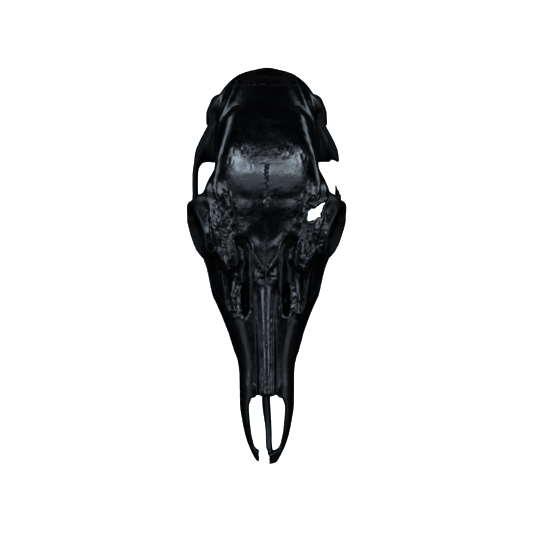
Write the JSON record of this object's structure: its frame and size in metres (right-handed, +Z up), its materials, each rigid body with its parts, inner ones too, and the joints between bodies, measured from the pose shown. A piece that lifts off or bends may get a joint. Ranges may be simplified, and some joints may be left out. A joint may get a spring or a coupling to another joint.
{
  "type": "deer skull",
  "caption": "Skull of a doe without its lower jaw, painted gloss black, with long nasals, ringed orbits, a broken cheek arch and cheek teeth; a still display piece to lie on a table or shelf.",
  "frame": {"origin": "on the table under the middle of the skull's box", "axes": "+Z up off the table, +Y toward the back of the head along its length, +X toward the animal's left side"},
  "size_m": [0.1062, 0.2662, 0.0965],
  "materials": {
    "black_paint": "gloss black paint over bone"
  },
  "bodies": {
    "root": {"vomer": "black_paint", "nasal_left": "black_paint", "nasal_right": "black_paint", "premaxilla_left": "black_paint", "premaxilla_right": "black_paint", "lacrimal_left": "black_paint", "lacrimal_right": "black_paint", "zygomatic_left": "black_paint", "zygomatic_right": "black_paint", "frontal_left": "black_paint", "frontal_right": "black_paint", "parietal": "black_paint", "bulla_left": "black_paint", "bulla_right": "black_paint", "temporal_left": "black_paint", "temporal_right": "black_paint", "occipital": "black_paint", "maxilla_left": "black_paint", "maxilla_right": "black_paint", "sphenoid": "black_paint"}
  },
  "joints": []
}
